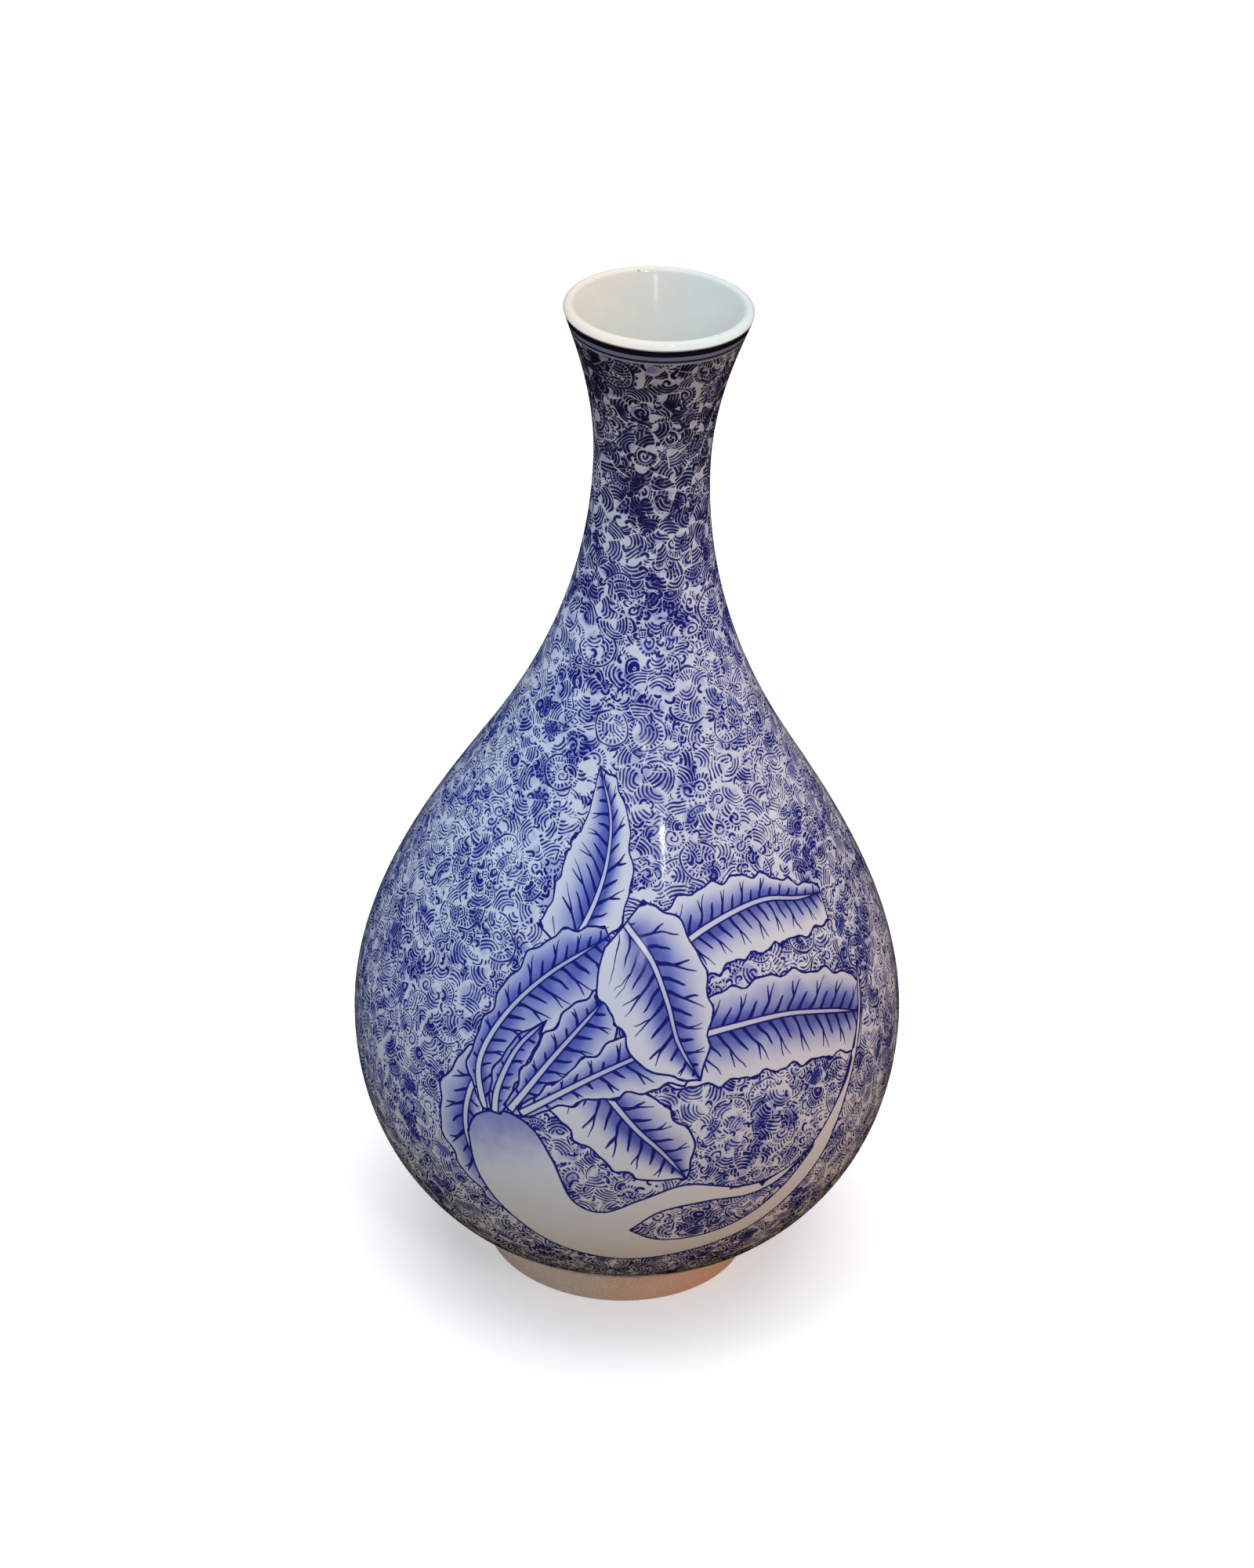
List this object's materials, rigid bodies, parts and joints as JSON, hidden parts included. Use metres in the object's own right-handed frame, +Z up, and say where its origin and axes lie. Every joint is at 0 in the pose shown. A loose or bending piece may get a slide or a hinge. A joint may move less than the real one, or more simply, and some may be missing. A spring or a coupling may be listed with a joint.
{
  "type": "sake bottle",
  "caption": "Tall pear-shaped porcelain sake bottle with a slim neck, trumpet mouth and bare foot ring, for warming, keeping and pouring sake.",
  "frame": {"origin": "centre of the foot ring's resting face, on the floor", "axes": "+Z up along the bottle's axis, -Y towards the painted radish and its leaves"},
  "size_m": [0.1472, 0.1472, 0.28],
  "materials": {
    "bare_porcelain_foot": "unglazed and matte",
    "porcelain_body": "unglazed and matte, covered by glaze",
    "blue_and_white_glaze": "glossy clear glaze over a fine cobalt blue pattern on white",
    "white_glaze": "glossy pale white"
  },
  "bodies": {
    "root": {"foot_ring": "bare_porcelain_foot", "lower_body": "porcelain_body", "upper_body": "porcelain_body", "neck": "porcelain_body", "outer_glaze": "blue_and_white_glaze", "inner_glaze": "white_glaze", "base_glaze": "white_glaze"}
  },
  "joints": []
}
